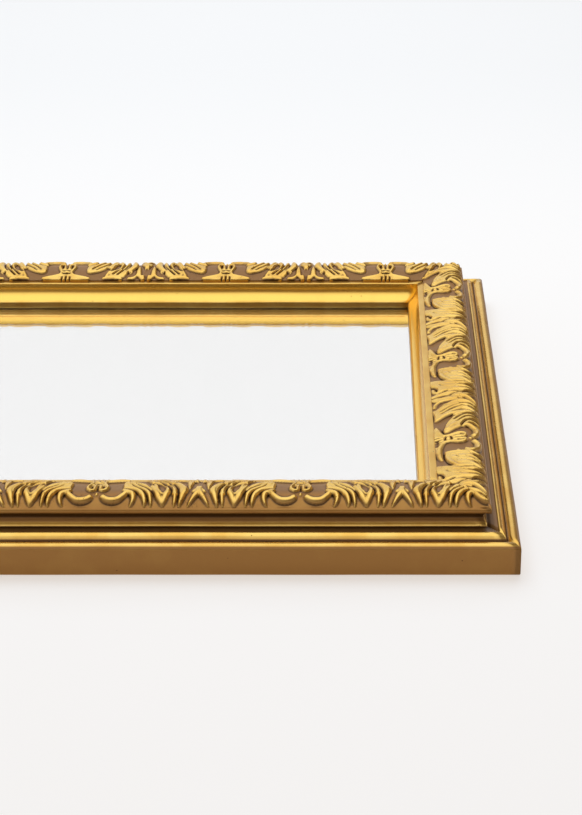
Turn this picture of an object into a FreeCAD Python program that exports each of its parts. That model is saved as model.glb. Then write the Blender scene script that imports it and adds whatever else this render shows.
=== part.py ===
import FreeCAD, Part
import math
import os

# A wall mirror in a mitred ornamental frame, lying on its back.
# Millimetres. +Z leaves the mirror's face, X runs along the long side, Y along the short side.
# The origin is the centre of the flat back, which lies at height 0.
# Each member is drawn in its own cross-section first: "across" is the distance inward from the
# outer edge, and "up" is the height above the back.

# The glass and what lies behind it
glass_length = 400.0
glass_width = 300.0
glass_thickness = 3.0
glass_arris = 0.4
glass_edge_clearance = 1.0
glass_face_height = 19.0
coat_thickness = 0.15
coat_margin = 0.5
card_thickness = 1.0
board_thickness = 3.0

# The moulding's main sizes
moulding_width = 57.0
moulding_height = 35.0
rebate_width = 8.0
wall_height = 17.5
foot_radius = 1.2

# The two beads on the outer edge, with a groove between them
outer_bead_inset = 0.5
outer_bead_width = 6.2
outer_bead_rise = 1.7
groove_lift = 0.7
groove_width = 0.8
bead_step_rise = 0.9
bead_step_slope = 0.4
inner_bead_width = 4.0
inner_bead_climb = 3.0
inner_bead_rise = 0.9

# The flat base, the neck and the lip that overhangs it
base_height = 21.6
neck_inset = 18.4
neck_rise = 4.5
neck_batter = 2.4
neck_sag = 0.5
undercut_reach = 3.3
undercut_sag = 0.9
lip_inset = 16.8
lip_height = 3.9
lip_bulge = 0.7

# The plain fillet, the cove and the quirk above the sight edge
cove_width = 6.8
fillet_edge = 0.8
fillet_edge_slope = 0.15
cove_sag = 1.9
quirk_width = 0.8
quirk_step = 0.5
quirk_slope = 0.3
sight_edge_height = 4.2

# The planted ornament, as the smooth form that its relief follows
ornament_inset = 0.5
ornament_width = 28.7
ornament_inner_height = 1.9
ornament_crown = 4.4

# The recess in the back, between the rebate and the rim that rests on the wall
recess_width = 19.0

# V-nails across the mitres, at these distances inward from the outer edge
v_nail_leg = 6.0
v_nail_thickness = 0.6
v_nail_height = 10.0
outer_v_nail_inset = 9.0
inner_v_nail_inset = 22.0

# Turn buttons: two on each rail, one on each stile
button_width = 10.0
button_reach = 17.0
button_thickness = 1.2
button_edge_chamfer = 0.2
button_clearance = 0.2
button_hole_clearance = 0.1
button_place_share = 0.28

# Hangers: a strap folded round the bar of a D-ring
ring_wire = 2.0
ring_half_width = 7.5
ring_corner_radius = 2.5
ring_leg_length = 3.5
ring_bore_clearance = 0.1
ring_side_clearance = 0.5
strap_metal = 1.0
strap_length = 23.0
strap_hole_clearance = 0.1
hanger_place_share = 0.17
near_screw_distance = 8.0
far_screw_distance = 18.2

# Pan-head wood screws
screw_head_diameter = 6.6
screw_head_height = 1.8
screw_head_edge = 0.7
screw_head_dome = 0.25
screw_shank_diameter = 3.0
screw_length = 12.0
screw_tip_length = 3.0
screw_hole_clearance = 0.05
screw_slot_width = 0.8
screw_slot_length = 4.0
screw_slot_depth = 1.0

# Room that a cut runs past a surface
overrun = 2.0

# Worked out from the sizes above
frame_margin = moulding_width - rebate_width + glass_edge_clearance
outer_length = glass_length + 2 * frame_margin
outer_width = glass_width + 2 * frame_margin
glass_back_height = glass_face_height - glass_thickness
coat_back_height = glass_back_height - coat_thickness
card_back_height = coat_back_height - card_thickness
board_back_height = card_back_height - board_thickness
recess_depth = board_back_height
rebate_inset = moulding_width - rebate_width
recess_inset = rebate_inset - recess_width
recess_centre = recess_inset + recess_width / 2
button_face_height = recess_depth - button_clearance
ring_radius = ring_wire / 2
loop_bore_radius = ring_radius + ring_bore_clearance
loop_outer_radius = loop_bore_radius + strap_metal
ring_axis_height = recess_depth - loop_outer_radius
strap_thickness = 2 * strap_metal
strap_width = 2 * (ring_half_width - ring_corner_radius - ring_side_clearance)

# Each side of the frame: its name, its length, how far its outer edge lies from the centre,
# its turn about the centre, and which way along it the hanger points
sides = (
    ("front_rail", outer_length, outer_width / 2, 0, 1),
    ("right_stile", outer_width, outer_length / 2, 90, 1),
    ("back_rail", outer_length, outer_width / 2, 180, -1),
    ("left_stile", outer_width, outer_length / 2, 270, -1),
)


def point(x, y, z):
    return FreeCAD.Vector(x, y, z)


def outline_face(start, steps):
    """A closed face in the plane of across and up.

    Each step is (across, up, bulge). The bulge is how far the edge that leads there bows out of
    the straight line, to the left of travel, and 0 is a straight edge.
    """
    edges = []
    across, up = start
    for next_across, next_up, bulge in steps + [(start[0], start[1], 0)]:
        run = math.hypot(next_across - across, next_up - up)
        first, last = point(0, across, up), point(0, next_across, next_up)
        if bulge == 0:
            edges.append(Part.LineSegment(first, last).toShape())
        else:
            middle = point(
                0,
                (across + next_across) / 2 + (up - next_up) / run * bulge,
                (up + next_up) / 2 + (next_across - across) / run * bulge,
            )
            edges.append(Part.Arc(first, middle, last).toShape())
        across, up = next_across, next_up
    return Part.Face(Part.Wire(edges))


def moulding_face():
    """The frame's cross-section: wall, beads, base, neck, lip, top, cove, sight edge and rebate."""
    outer_bead_end = outer_bead_inset + outer_bead_width
    groove_height = wall_height + groove_lift
    step_foot = outer_bead_end + groove_width
    inner_bead_start = step_foot + bead_step_slope
    inner_bead_end = inner_bead_start + inner_bead_width
    inner_bead_height = groove_height + bead_step_rise
    inner_bead_top = inner_bead_height + inner_bead_climb
    neck_top = base_height + neck_rise
    lip_bottom = moulding_height - lip_height
    cove_start = moulding_width - cove_width
    cove_end = moulding_width - quirk_width
    sight_edge_top = glass_face_height + sight_edge_height
    quirk_bottom = sight_edge_top + quirk_slope
    foot_bow = foot_radius * (1 - math.sqrt(1 / 2))
    return outline_face(
        (foot_radius, 0),
        [
            (0, foot_radius, foot_bow),
            (0, wall_height, 0),
            (outer_bead_inset, wall_height, 0),
            (outer_bead_end, groove_height, outer_bead_rise),
            (step_foot, groove_height, 0),
            (inner_bead_start, inner_bead_height, 0),
            (inner_bead_end, inner_bead_top, inner_bead_rise),
            (inner_bead_end, base_height, 0),
            (neck_inset, base_height, 0),
            (neck_inset + neck_batter, neck_top, -neck_sag),
            (neck_inset + neck_batter - undercut_reach, lip_bottom, -undercut_sag),
            (lip_inset, lip_bottom, 0),
            (lip_inset, moulding_height, lip_bulge),
            (cove_start, moulding_height, 0),
            (cove_start + fillet_edge_slope, moulding_height - fillet_edge, 0),
            (cove_end, quirk_bottom + quirk_step, -cove_sag),
            (cove_end, quirk_bottom, 0),
            (moulding_width, sight_edge_top, 0),
            (moulding_width, glass_face_height, 0),
            (rebate_inset, glass_face_height, 0),
            (rebate_inset, recess_depth, 0),
            (recess_inset, recess_depth, 0),
            (recess_inset, 0, 0),
        ],
    )


def ornament_face():
    """The planted ornament's cross-section: flat below, crowned above, upright at its inner edge."""
    outer = lip_inset + ornament_inset
    inner = outer + ornament_width
    return outline_face(
        (outer, moulding_height),
        [
            (inner, moulding_height + ornament_inner_height, ornament_crown),
            (inner, moulding_height, 0),
        ],
    )


def mitred(face, length):
    """The face run along x for a member of this length, cut at 45 degrees at both ends."""
    half = length / 2
    start = face.copy()
    start.translate(point(-half, 0, 0))
    run = start.extrude(point(length, 0, 0))
    corners = [
        point(-half, 0, 0),
        point(half, 0, 0),
        point(half - moulding_width, moulding_width, 0),
        point(moulding_width - half, moulding_width, 0),
        point(-half, 0, 0),
    ]
    plan = Part.Face(Part.makePolygon(corners))
    top = moulding_height + ornament_inner_height + ornament_crown + overrun
    return run.common(plan.extrude(point(0, 0, top)))


def set_on_side(shape, edge_distance, turn):
    """Moves a shape from its member's own section to its side of the frame."""
    placed = shape.copy()
    placed.translate(point(0, -edge_distance, 0))
    placed.rotate(point(0, 0, 0), point(0, 0, 1), turn)
    return placed


def span_box(x1, x2, y1, y2, z1, z2):
    low = point(min(x1, x2), min(y1, y2), min(z1, z2))
    return Part.makeBox(abs(x2 - x1), abs(y2 - y1), abs(z2 - z1), low)


def centred_plate(length, width, bottom, top):
    return span_box(-length / 2, length / 2, -width / 2, width / 2, bottom, top)


def is_level(edge):
    direction = edge.tangentAt(edge.FirstParameter)
    return abs(direction.z) < abs(direction.x) + abs(direction.y)


def glass_pane():
    pane = centred_plate(glass_length, glass_width, glass_back_height, glass_face_height)
    return pane.makeChamfer(glass_arris, [edge for edge in pane.Edges if is_level(edge)])


def v_nails():
    """Eight folded plates, two across each mitre, driven in flush with the back."""
    nails = []
    for x_sign in (-1, 1):
        for y_sign in (-1, 1):
            for inset in (outer_v_nail_inset, inner_v_nail_inset):
                x = x_sign * (outer_length / 2 - inset)
                y = y_sign * (outer_width / 2 - inset)
                leg_x, edge_x = x - x_sign * v_nail_leg, x - x_sign * v_nail_thickness
                leg_y, edge_y = y - y_sign * v_nail_leg, y + y_sign * v_nail_thickness
                along_x = span_box(x, leg_x, y, edge_y, 0, v_nail_height)
                edge_x = x + x_sign * v_nail_thickness
                along_y = span_box(x, edge_x, y, leg_y, 0, v_nail_height)
                corner = span_box(x, edge_x, y, edge_y, 0, v_nail_height)
                nails.append(along_x.fuse([along_y, corner]).removeSplitter())
    return nails


def screw(x, across, head_base):
    """A pan-head screw, its head hanging below head_base and its tip above."""
    head_radius, shank_radius = screw_head_diameter / 2, screw_shank_diameter / 2
    outline = outline_face(
        (0, screw_length),
        [
            (shank_radius, screw_length - screw_tip_length, 0),
            (shank_radius, 0, 0),
            (head_radius, 0, 0),
            (head_radius, screw_head_edge - screw_head_height, 0),
            (0, -screw_head_height, screw_head_dome),
        ],
    )
    body = outline.revolve(point(0, 0, 0), point(0, 0, 1), 360)
    half_width, half_length = screw_slot_width / 2, screw_slot_length / 2
    bottom, floor = -screw_head_height - overrun, screw_slot_depth - screw_head_height
    one_way = span_box(-half_width, half_width, -half_length, half_length, bottom, floor)
    other_way = span_box(-half_length, half_length, -half_width, half_width, bottom, floor)
    body = body.cut([one_way, other_way])
    body.translate(point(x, across, head_base))
    return body


def screw_hole(x, across, head_base):
    """The hole that a screw at this place takes in the wood above it."""
    radius = screw_shank_diameter / 2 + screw_hole_clearance
    return Part.makeCylinder(radius, screw_length, point(x, across, head_base))


def upright_cylinder(radius, x, across, bottom, top):
    return Part.makeCylinder(radius, top - bottom, point(x, across, bottom))


def turn_button(x):
    """A round-ended steel strip that turns on the screw at its outer end."""
    radius = button_width / 2
    bottom, top = button_face_height - button_thickness, button_face_height
    tip_centre = recess_centre + button_reach - radius
    plate = span_box(x - radius, x + radius, recess_centre, tip_centre, bottom, top)
    plate = plate.fuse([
        upright_cylinder(radius, x, recess_centre, bottom, top),
        upright_cylinder(radius, x, tip_centre, bottom, top),
    ]).removeSplitter()
    plate = plate.makeChamfer(button_edge_chamfer, [edge for edge in plate.Edges if is_level(edge)])
    hole_radius = screw_shank_diameter / 2 + button_hole_clearance
    return plate.cut(upright_cylinder(hole_radius, x, recess_centre, bottom - overrun, top + overrun))


def hanger_screw_places(x, direction):
    return [x - direction * near_screw_distance, x - direction * far_screw_distance]


def hanger_strap(x, direction):
    """A folded strip, its layers pressed into one, with a loop at x for the ring's bar and two holes."""
    half_width = strap_width / 2
    bottom = recess_depth - strap_thickness
    end_centre = x - direction * (strap_length - half_width)
    across = recess_centre - half_width
    loop_start = point(x, across, ring_axis_height)
    loop = Part.makeCylinder(loop_outer_radius, strap_width, loop_start, point(0, 1, 0))
    plate = span_box(x, end_centre, across, across + strap_width, bottom, recess_depth)
    end = upright_cylinder(half_width, end_centre, recess_centre, bottom, recess_depth)
    strap = plate.fuse([loop, end]).removeSplitter()
    bore = Part.makeCylinder(loop_bore_radius, strap_width, loop_start, point(0, 1, 0))
    hole_radius = screw_shank_diameter / 2 + strap_hole_clearance
    holes = [
        upright_cylinder(hole_radius, place, recess_centre, bottom - overrun, recess_depth + overrun)
        for place in hanger_screw_places(x, direction)
    ]
    return strap.cut([bore] + holes)


def d_ring(x, direction):
    """A wire bent to a bar, two legs and a half-round bow, its bar in the strap's loop at x."""
    bar_half = ring_half_width - ring_corner_radius
    corner_x = x + direction * ring_corner_radius
    bow_x = corner_x + direction * ring_leg_length
    tip_x = bow_x + direction * ring_half_width
    mid_share = 1 - math.sqrt(1 / 2)
    near_x = x + direction * ring_corner_radius * mid_share
    corner_across = ring_half_width - ring_corner_radius * mid_share

    def at(along, across):
        return point(along, recess_centre + across, ring_axis_height)

    edges = [
        Part.LineSegment(at(x, -bar_half), at(x, bar_half)),
        Part.Arc(at(x, bar_half), at(near_x, corner_across), at(corner_x, ring_half_width)),
        Part.LineSegment(at(corner_x, ring_half_width), at(bow_x, ring_half_width)),
        Part.Arc(at(bow_x, ring_half_width), at(tip_x, 0), at(bow_x, -ring_half_width)),
        Part.LineSegment(at(bow_x, -ring_half_width), at(corner_x, -ring_half_width)),
        Part.Arc(at(corner_x, -ring_half_width), at(near_x, -corner_across), at(x, -bar_half)),
    ]
    path = Part.Wire([edge.toShape() for edge in edges])
    section = Part.Wire([Part.Circle(at(x, 0 - bar_half), point(0, 1, 0), ring_radius).toShape()])
    return path.makePipeShell([section], True, False)


def button_places(length, is_rail):
    """Where the turn buttons sit along a member, measured from its middle."""
    return [-length * button_place_share, length * button_place_share] if is_rail else [0]


def save(name, shape):
    shape.exportStep(os.path.join("parts", name + ".step"))


def build_side(side, nails):
    """Saves one member with its ornament, buttons and hanger, and returns its screws."""
    name, length, edge_distance, turn, direction = side
    hanger_x = direction * hanger_place_share * length
    strap_bottom = recess_depth - strap_thickness
    button_bottom = button_face_height - button_thickness
    hangers = [(x, recess_centre, strap_bottom) for x in hanger_screw_places(hanger_x, direction)]
    buttons = [
        (x, recess_centre, button_bottom)
        for x in button_places(length, name.endswith("rail"))
    ]
    member = mitred(moulding_face(), length)
    member = member.cut([screw_hole(*place) for place in hangers + buttons])
    save(name, set_on_side(member, edge_distance, turn).cut(nails))
    save(name + "_ornament", set_on_side(mitred(ornament_face(), length), edge_distance, turn))
    save(name + "_hanger_strap", set_on_side(hanger_strap(hanger_x, direction), edge_distance, turn))
    save(name + "_hanger_ring", set_on_side(d_ring(hanger_x, direction), edge_distance, turn))
    for number, (x, across, height) in enumerate(buttons, 1):
        button = set_on_side(turn_button(x), edge_distance, turn)
        save(name + "_turn_button" + ("_" + str(number) if len(buttons) > 1 else ""), button)
    return [
        [set_on_side(screw(*place), edge_distance, turn) for place in places]
        for places in (hangers, buttons)
    ]


def build():
    os.makedirs("parts", exist_ok=True)
    nails = v_nails()
    hanger_screws, button_screws = [], []
    for side in sides:
        side_hanger_screws, side_button_screws = build_side(side, nails)
        hanger_screws += side_hanger_screws
        button_screws += side_button_screws
    save("corner_v_nails", Part.makeCompound(nails))
    save("hanger_screws", Part.makeCompound(hanger_screws))
    save("turn_button_screws", Part.makeCompound(button_screws))
    save("mirror_glass", glass_pane())
    coat_length, coat_width = glass_length - 2 * coat_margin, glass_width - 2 * coat_margin
    save("silver_coat", centred_plate(coat_length, coat_width, coat_back_height, glass_back_height))
    save("cushion_card", centred_plate(glass_length, glass_width, card_back_height, coat_back_height))
    save("backing_board", centred_plate(glass_length, glass_width, board_back_height, card_back_height))


build()
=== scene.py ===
import math

import bmesh
import bpy
import numpy as np
from mathutils import Matrix, Vector


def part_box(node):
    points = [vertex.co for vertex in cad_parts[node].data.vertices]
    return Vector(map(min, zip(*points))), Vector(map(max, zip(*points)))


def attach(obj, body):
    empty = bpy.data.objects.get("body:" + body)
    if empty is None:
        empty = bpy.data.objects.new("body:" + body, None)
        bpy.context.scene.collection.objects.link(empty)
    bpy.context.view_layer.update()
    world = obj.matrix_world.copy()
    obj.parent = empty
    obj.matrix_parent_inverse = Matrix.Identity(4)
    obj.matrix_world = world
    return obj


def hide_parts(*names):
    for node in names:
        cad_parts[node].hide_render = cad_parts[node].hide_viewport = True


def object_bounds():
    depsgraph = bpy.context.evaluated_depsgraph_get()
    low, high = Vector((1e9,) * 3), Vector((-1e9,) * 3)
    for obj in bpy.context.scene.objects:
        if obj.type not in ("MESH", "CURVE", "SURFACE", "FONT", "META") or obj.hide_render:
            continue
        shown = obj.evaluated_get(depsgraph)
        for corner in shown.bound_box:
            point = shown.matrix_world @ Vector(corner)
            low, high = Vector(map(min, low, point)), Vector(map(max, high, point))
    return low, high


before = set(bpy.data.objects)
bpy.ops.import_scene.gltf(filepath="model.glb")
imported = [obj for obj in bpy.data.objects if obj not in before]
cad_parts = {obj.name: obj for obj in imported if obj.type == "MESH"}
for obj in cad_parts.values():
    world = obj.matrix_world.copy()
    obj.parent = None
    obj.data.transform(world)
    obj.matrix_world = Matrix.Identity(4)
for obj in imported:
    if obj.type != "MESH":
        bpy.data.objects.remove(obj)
cadBox = [list(corner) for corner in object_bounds()]
print("loaded the frame:", len(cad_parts), "nodes")

mm = 0.001
outerLength, outerWidth = [(cadBox[1][axis] - cadBox[0][axis]) / mm for axis in (0, 1)]

# Each member of the frame: its turn about the centre, its kind, and where a flower of the ornament
# sits along it, measured from its middle
sides = {
    "front_rail": {"turn": 0, "kind": "rail", "flowerAt": 124.7},
    "right_stile": {"turn": 90, "kind": "stile", "flowerAt": -104.9},
    "back_rail": {"turn": 180, "kind": "rail", "flowerAt": -177.0},
    "left_stile": {"turn": 270, "kind": "stile", "flowerAt": 96.0},
}
for side in sides.values():
    # its length, and how far out its edge lies
    if side["kind"] == "rail":
        side["length"], side["edge"] = outerLength, outerWidth / 2
    else:
        side["length"], side["edge"] = outerWidth, outerLength / 2


def srgb(hexColour):
    # linear colour of an sRGB hex value
    channels = [int(hexColour[i:i + 2], 16) / 255 for i in (1, 3, 5)]
    return [c / 12.92 if c <= 0.04045 else ((c + 0.055) / 1.055) ** 2.4 for c in channels] + [1.0]


def addNode(tree, kind, inputs=None, **settings):
    # one node with its settings; each input gets a value, or is fed by a socket or by another
    # node's first output
    node = tree.nodes.new(kind)
    for name, value in settings.items():
        setattr(node, name, value)
    for name, value in (inputs or {}).items():
        if isinstance(value, bpy.types.Node):
            value = value.outputs[0]
        if isinstance(value, bpy.types.NodeSocket):
            tree.links.new(value, node.inputs[name])
        else:
            node.inputs[name].default_value = value
    return node


def newMaterial(name, finish, **choices):
    # a material whose surface gets the inputs that a finish works out in its tree
    material = bpy.data.materials.new(name)
    material.use_nodes = True
    tree = material.node_tree
    tree.nodes.clear()
    surface = addNode(tree, "ShaderNodeBsdfPrincipled", finish(tree, **choices))
    addNode(tree, "ShaderNodeOutputMaterial", {"Surface": surface})
    return material


def newObject(name, data):
    made = bpy.data.objects.new(name, data)
    bpy.context.scene.collection.objects.link(made)
    return made


def newPiece(name, mesh, replaced):
    # a fixed piece that stands for one CAD node
    piece = newObject(name, mesh)
    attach(piece, "frame")
    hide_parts(replaced)


def placeOnSide(mesh, side):
    # from a member's own section (x along, y inward from the outer edge, in mm) to its place
    turn = Matrix.Rotation(math.radians(side["turn"]), 4, "Z")
    mesh.transform(turn @ Matrix.Translation((0, -side["edge"] * mm, 0)) @ Matrix.Scale(mm, 4))


def tubeFaces(rings, count):
    # the four-sided faces of a tube made of rings, each with this many points
    return [
        (r * count + i, r * count + (i + 1) % count, (r + 1) * count + (i + 1) % count, (r + 1) * count + i)
        for r in range(rings - 1) for i in range(count)
    ]


def paintPoints(mesh, painted):
    # how toned, dirty, rubbed or burnished each point is, for the gilding to read
    for label, values in painted.items():
        attribute = mesh.attributes.new(label, "FLOAT", "POINT")
        attribute.data.foreach_set("value", values.ravel().astype(np.float32))


# The gilding. Sizes are in mm. Three numbers say where something starts, where it is full, and how
# much of it there is then.

giltFinish = {
    "leaf": "#ECC56C",       # gold leaf, rubbed bright
    "deepLeaf": "#D9A340",   # leaf where it is thinner and more orange
    "bright": "#F6CB66",     # leaf burnished with an agate, in the cove
    "brownToneAndShade": "#9E7038",       # leaf under the brown toning wash, also laid on steep, down-facing and overhung places as painted shade
    "dirtAndShade": "#2A1302",       # toning that gathers in cuts and corners, also laid in hollows, grooves and under the lip as painted shade
    "bole": "#7A4020",       # red clay where the leaf is worn through
    "cloud": (16.0, 0.55),   # size and roughness of the uneven patches of wash
    "grain": (1.6, 0.7),     # and of the leaf's fine grain
    "deepClouds": (0.4, 0.64, 0.5),     # the deeper leaf, in thick clouds
    "wornGrain": (0.62, 0.72, 1.0),     # leaf worn through, in coarse grain
    "speckedCells": (0.5, 0.55, 1.0),   # a speck, by each cell's own chance
    "washDrift": 0.2,        # how far the clouds push the wash in and out
    "washRubbed": 0.4,       # how much of the wash rubbing takes off
    "speckSpacing": 7.0,
    "speckSize": 0.4,
    "speckCore": 0.6,        # the share of a speck that is fully dark
    "crackSpacing": 11.0,
    "crackWidth": 0.1,
    "crackCore": 0.3,
    "crackDarkness": 0.6,
    "crackedClouds": (0.5, 0.56),   # clouds past these are cracked
    "crackBend": (6.0, 4.0),    # how finely and how far cracks wander
    "metallic": (1.0, 0.72),    # of bare leaf and of leaf under the wash
    "roughness": (0.26, 0.42),
    "darkHides": 0.6,        # dirt and painted shade past this hide the metal
    "dulling": (0.3, 0.9),   # dirt and painted shade dull the varnish between these
    "varnish": (0.5, 0.03),  # specular level of clean places and of places with dirt and painted shade
    "bumpStrength": 0.12,
    "bumpDepth": 0.1,
    "markDepth": 0.8,        # how deep specks and cracks lie in that bump
}


def gilding(tree, carved):
    # Gold leaf on clay and gesso, toned with a brown wash and varnished: soft metal shine on the leaf,
    # brown wash and dirt in the low places, both also laid on as painted shade, small dark specks and,
    # where carved, fine cracks.
    finish = giltFinish
    place = addNode(tree, "ShaderNodeTexCoord").outputs["Object"]
    toneAndShade, dirtAndShade, rubbed, burnished = [
        addNode(tree, "ShaderNodeAttribute", attribute_name=label).outputs["Fac"]
        for label in ("toneAndShade", "dirtAndShade", "rubbed", "burnished")]
    cloud, grain = [
        addNode(tree, "ShaderNodeTexNoise", {
            "Vector": place, "Scale": 1 / (size * mm), "Detail": 4.0, "Roughness": roughness})
        for size, roughness in (finish["cloud"], finish["grain"])]
    cells = addNode(tree, "ShaderNodeTexVoronoi", {
        "Vector": place, "Scale": 1 / (finish["speckSpacing"] * mm)}).outputs
    chance = addNode(tree, "ShaderNodeSeparateColor", {"Color": cells["Color"]})
    # how much of each there is: nothing before the start, and the most past the end
    deep, bare, specked = [
        addNode(tree, "ShaderNodeMapRange", {
            "Value": source, "From Min": start, "From Max": end, "To Max": most})
        for source, (start, end, most) in (
            (cloud, finish["deepClouds"]), (grain, finish["wornGrain"]), (chance, finish["speckedCells"]))]

    # specks: one small dot in some cells of a pattern
    speckSize = finish["speckSize"] / finish["speckSpacing"]
    speck = addNode(tree, "ShaderNodeMapRange", {
        "Value": cells["Distance"], "From Min": speckSize, "From Max": speckSize * finish["speckCore"]})
    mark = addNode(tree, "ShaderNodeMath", {0: speck, 1: specked}, operation="MULTIPLY")

    if carved:
        # cracks: the borders of uneven cells
        bendSize, bendReach = finish["crackBend"]
        bend = addNode(tree, "ShaderNodeTexNoise", {
            "Vector": place, "Scale": 1 / (bendSize * mm), "Detail": 3.0}).outputs["Color"]
        bend = addNode(tree, "ShaderNodeVectorMath", {0: bend, "Scale": bendReach * mm}, operation="SCALE")
        bent = addNode(tree, "ShaderNodeVectorMath", {0: place, 1: bend}, operation="ADD")
        borders = addNode(tree, "ShaderNodeTexVoronoi", {
            "Vector": bent, "Scale": 1 / (finish["crackSpacing"] * mm)}, feature="DISTANCE_TO_EDGE")
        crackWidth = finish["crackWidth"] / finish["crackSpacing"]
        crack = addNode(tree, "ShaderNodeMapRange", {
            "Value": borders.outputs["Distance"], "From Min": crackWidth,
            "From Max": crackWidth * finish["crackCore"], "To Max": finish["crackDarkness"]})
        start, end = finish["crackedClouds"]
        cracked = addNode(tree, "ShaderNodeMapRange", {"Value": cloud, "From Min": start, "From Max": end})
        crack = addNode(tree, "ShaderNodeMath", {0: crack, 1: cracked}, operation="MULTIPLY")
        mark = addNode(tree, "ShaderNodeMath", {0: mark, 1: crack}, operation="MAXIMUM")

    # the wash, with its painted shade, is uneven: clouds push the toned zones in and out, and rubbing takes
    # some off
    drift = addNode(tree, "ShaderNodeMath", {0: cloud, 1: 0.5}, operation="SUBTRACT")
    drift = addNode(tree, "ShaderNodeMath", {0: drift, 1: finish["washDrift"]}, operation="MULTIPLY")
    drifted = addNode(tree, "ShaderNodeMath", {0: toneAndShade, 1: drift}, operation="ADD")
    lost = addNode(tree, "ShaderNodeMath", {0: rubbed, 1: finish["washRubbed"]}, operation="MULTIPLY")
    washAndShade = addNode(tree, "ShaderNodeMath", {0: drifted, 1: lost}, operation="SUBTRACT", use_clamp=True)
    worn = addNode(tree, "ShaderNodeMath", {0: rubbed, 1: bare}, operation="MULTIPLY")

    # the colours, each over the one before
    colour = srgb(finish["leaf"])
    for share, coat in ((deep, "deepLeaf"), (burnished, "bright"), (washAndShade, "brownToneAndShade"), (dirtAndShade, "dirtAndShade"),
                        (worn, "bole"), (mark, "dirtAndShade")):
        colour = addNode(tree, "ShaderNodeMix", {
            0: share, 6: colour, 7: srgb(finish[coat])}, data_type="RGBA").outputs[2]

    metallic, roughness = [
        addNode(tree, "ShaderNodeMapRange", {"Value": washAndShade, "To Min": atLeaf, "To Max": atWash})
        for atLeaf, atWash in (finish["metallic"], finish["roughness"])]
    clearOfDark = addNode(tree, "ShaderNodeMapRange", {
        "Value": dirtAndShade, "From Max": finish["darkHides"], "To Min": 1.0, "To Max": 0.0})
    metallic = addNode(tree, "ShaderNodeMath", {0: metallic, 1: clearOfDark}, operation="MULTIPLY")
    varnish = addNode(tree, "ShaderNodeMapRange", {
        "Value": dirtAndShade, "From Min": finish["dulling"][0], "From Max": finish["dulling"][1],
        "To Min": finish["varnish"][0], "To Max": finish["varnish"][1]})
    sunk = addNode(tree, "ShaderNodeMath", {0: mark, 1: finish["markDepth"]}, operation="MULTIPLY")
    height = addNode(tree, "ShaderNodeMath", {0: grain, 1: sunk}, operation="SUBTRACT")
    bump = addNode(tree, "ShaderNodeBump", {
        "Height": height, "Strength": finish["bumpStrength"], "Distance": finish["bumpDepth"] * mm})
    return {"Base Color": colour, "Metallic": metallic, "Roughness": roughness,
            "Specular IOR Level": varnish, "Normal": bump}


bareWood = {"dark": "#B98F5C", "pale": "#DDBE8C", "poreSize": 2.2, "roughness": 0.75}


def plainWood(tree):
    # Obeche, planed and left bare behind, yellowed with age: matt, with fine uneven pores.
    place = addNode(tree, "ShaderNodeTexCoord").outputs["Object"]
    pores = addNode(tree, "ShaderNodeTexNoise", {
        "Vector": place, "Scale": 1 / (bareWood["poreSize"] * mm), "Detail": 5.0, "Distortion": 0.4})
    ramp = addNode(tree, "ShaderNodeValToRGB", {"Fac": pores})
    for element, brownToneAndShade in zip(ramp.color_ramp.elements, ("dark", "pale")):
        element.color = srgb(bareWood[brownToneAndShade])
    return {"Base Color": ramp, "Roughness": bareWood["roughness"]}


def clearGlass(tree):
    # Float glass, clear, polished by the float: no colour to speak of, a sharp reflection.
    return {"Base Color": srgb("#FDFDFD"), "Roughness": 0.0, "IOR": 1.52, "Transmission Weight": 1.0}


def silverFilm(tree):
    # Silvering on the glass: a mirror-bright metal film.
    return {"Base Color": srgb("#FAFAFA"), "Metallic": 1.0, "Roughness": 0.0}


def drifting(tree, colour, roughness, metallic=0.0, spread=0.12, size=3.0):
    # A plain finish whose tone drifts by this share of itself, in patches of this size in mm. The
    # card is grey and matt, the hardboard a little shiny, the steel bright with a soft blur.
    place = addNode(tree, "ShaderNodeTexCoord").outputs["Object"]
    noise = addNode(tree, "ShaderNodeTexNoise", {"Vector": place, "Scale": 1 / (size * mm), "Detail": 4.0})
    ramp = addNode(tree, "ShaderNodeValToRGB", {"Fac": noise})
    base = srgb(colour)
    for element, level in zip(ramp.color_ramp.elements, (1 - spread, 1 + spread)):
        element.color = [min(1, c * level) for c in base[:3]] + [1]
    return {"Base Color": ramp, "Roughness": roughness, "Metallic": metallic}


steel = {"metallic": 1.0, "spread": 0.06, "size": 1.5}
materials = {
    "giltMoulding": newMaterial("giltMoulding", gilding, carved=False),
    "giltOrnament": newMaterial("giltOrnament", gilding, carved=True),
    "bareWood": newMaterial("bareObeche", plainWood),
    "glass": newMaterial("floatGlass", clearGlass),
    "silver": newMaterial("silvering", silverFilm),
    "card": newMaterial("greyCard", drifting, colour="#A39D92", roughness=0.85),
    "hardboard": newMaterial("hardboard", drifting, colour="#6B4528", roughness=0.6),
    "zincSteel": newMaterial("zincPlatedSteel", drifting, colour="#C9C7BF", roughness=0.32, **steel),
    "brightSteel": newMaterial("coldRolledSteel", drifting, colour="#B8B8BA", roughness=0.3, **steel),
}
print("materials made:", len(materials))


# The moulding: its section, corner by corner. Each corner is across and up in mm, the bulge of
# the edge that leads there, and the wash on that edge: up to 1 is toned, past 1 is dirt and painted
# shade on top, and below 0 is burnished.

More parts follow.
